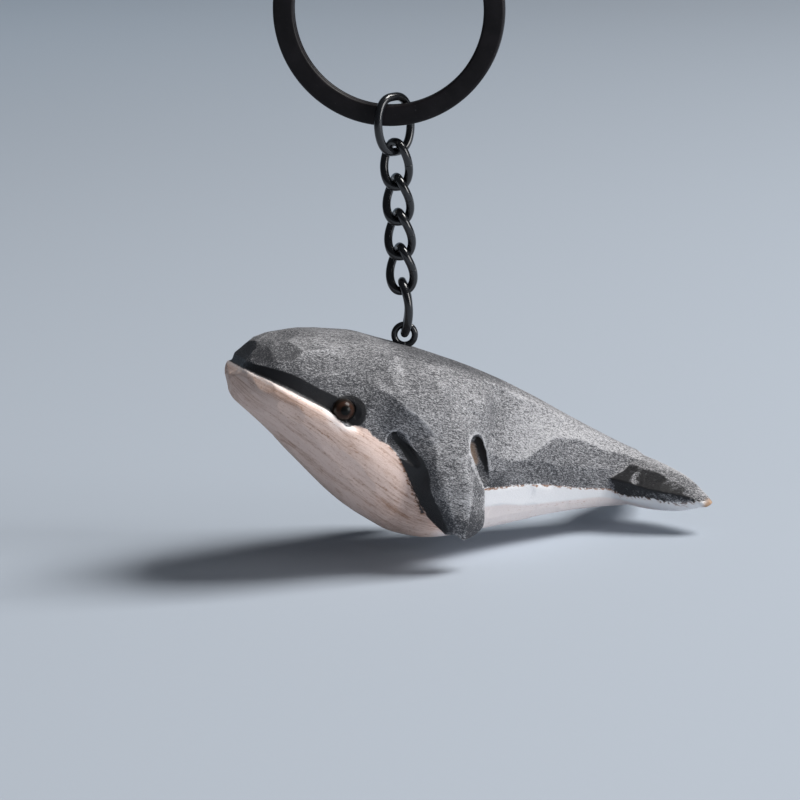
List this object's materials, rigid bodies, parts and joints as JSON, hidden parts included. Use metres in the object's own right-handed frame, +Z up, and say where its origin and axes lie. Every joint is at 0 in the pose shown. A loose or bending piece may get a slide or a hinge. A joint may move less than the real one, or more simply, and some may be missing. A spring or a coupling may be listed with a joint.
{
  "type": "whale key ring",
  "caption": "Hand-carved, painted wooden whale with flippers, flukes and glass eyes, hung from a split key ring by a short curb chain and a screw eye.",
  "frame": {"origin": "inside of the split ring's top, where a hook or a finger holds the key ring, with every piece hanging straight below it", "axes": "+Z up along the hanging chain, the whale's nose towards -X and dipped tail towards +X, its right side towards +Y"},
  "size_m": [0.0632, 0.0284, 0.0851],
  "materials": {
    "ring_coating": "satin black coating over flat steel band",
    "chain_coating": "glossy black coating over steel wire",
    "carved_wood": "knife-cut wood, grey-black stain above, white wash below",
    "eye_glass": "polished brown glass with a black pupil"
  },
  "bodies": {
    "ring": {"split_ring": "ring_coating"},
    "connector": {"connector_link": "chain_coating"},
    "curb_1": {"curb_link_1": "chain_coating"},
    "curb_2": {"curb_link_2": "chain_coating"},
    "curb_3": {"curb_link_3": "chain_coating"},
    "curb_4": {"curb_link_4": "chain_coating"},
    "end": {"end_link": "chain_coating"},
    "whale": {"whale_body": "carved_wood", "screw_eye": "chain_coating", "left_eye": "eye_glass", "right_eye": "eye_glass"}
  },
  "joints": [
    {"name": "connector_swing", "type": "hinge", "parent": "ring", "child": "connector", "pos_m": [0, 0, -0.02595], "axis": [0.891, -0.454, 0], "range_deg": [-35, 35]},
    {"name": "curb_1_swing", "type": "hinge", "parent": "connector", "child": "curb_1", "pos_m": [0, 0, -0.03072], "axis": [-0.9205, -0.3907, 0], "range_deg": [-45, 45]},
    {"name": "curb_2_swing", "type": "hinge", "parent": "curb_1", "child": "curb_2", "pos_m": [0, 0, -0.03404], "axis": [0.0872, 0.9962, 0], "range_deg": [-25, 25]},
    {"name": "curb_3_swing", "type": "hinge", "parent": "curb_2", "child": "curb_3", "pos_m": [0, 0, -0.03991], "axis": [0.9903, -0.1392, 0], "range_deg": [-25, 25]},
    {"name": "curb_4_swing", "type": "hinge", "parent": "curb_3", "child": "curb_4", "pos_m": [0, 0, -0.04322], "axis": [-0.0872, -0.9962, 0], "range_deg": [-25, 25]},
    {"name": "end_link_swing", "type": "hinge", "parent": "curb_4", "child": "end", "pos_m": [0, 0, -0.04908], "axis": [-0.9903, 0.1392, 0], "range_deg": [-25, 45]},
    {"name": "whale_swing", "type": "hinge", "parent": "end", "child": "whale", "pos_m": [0, 0, -0.05468], "axis": [0.342, 0.9397, 0], "range_deg": [-60, 60]}
  ]
}
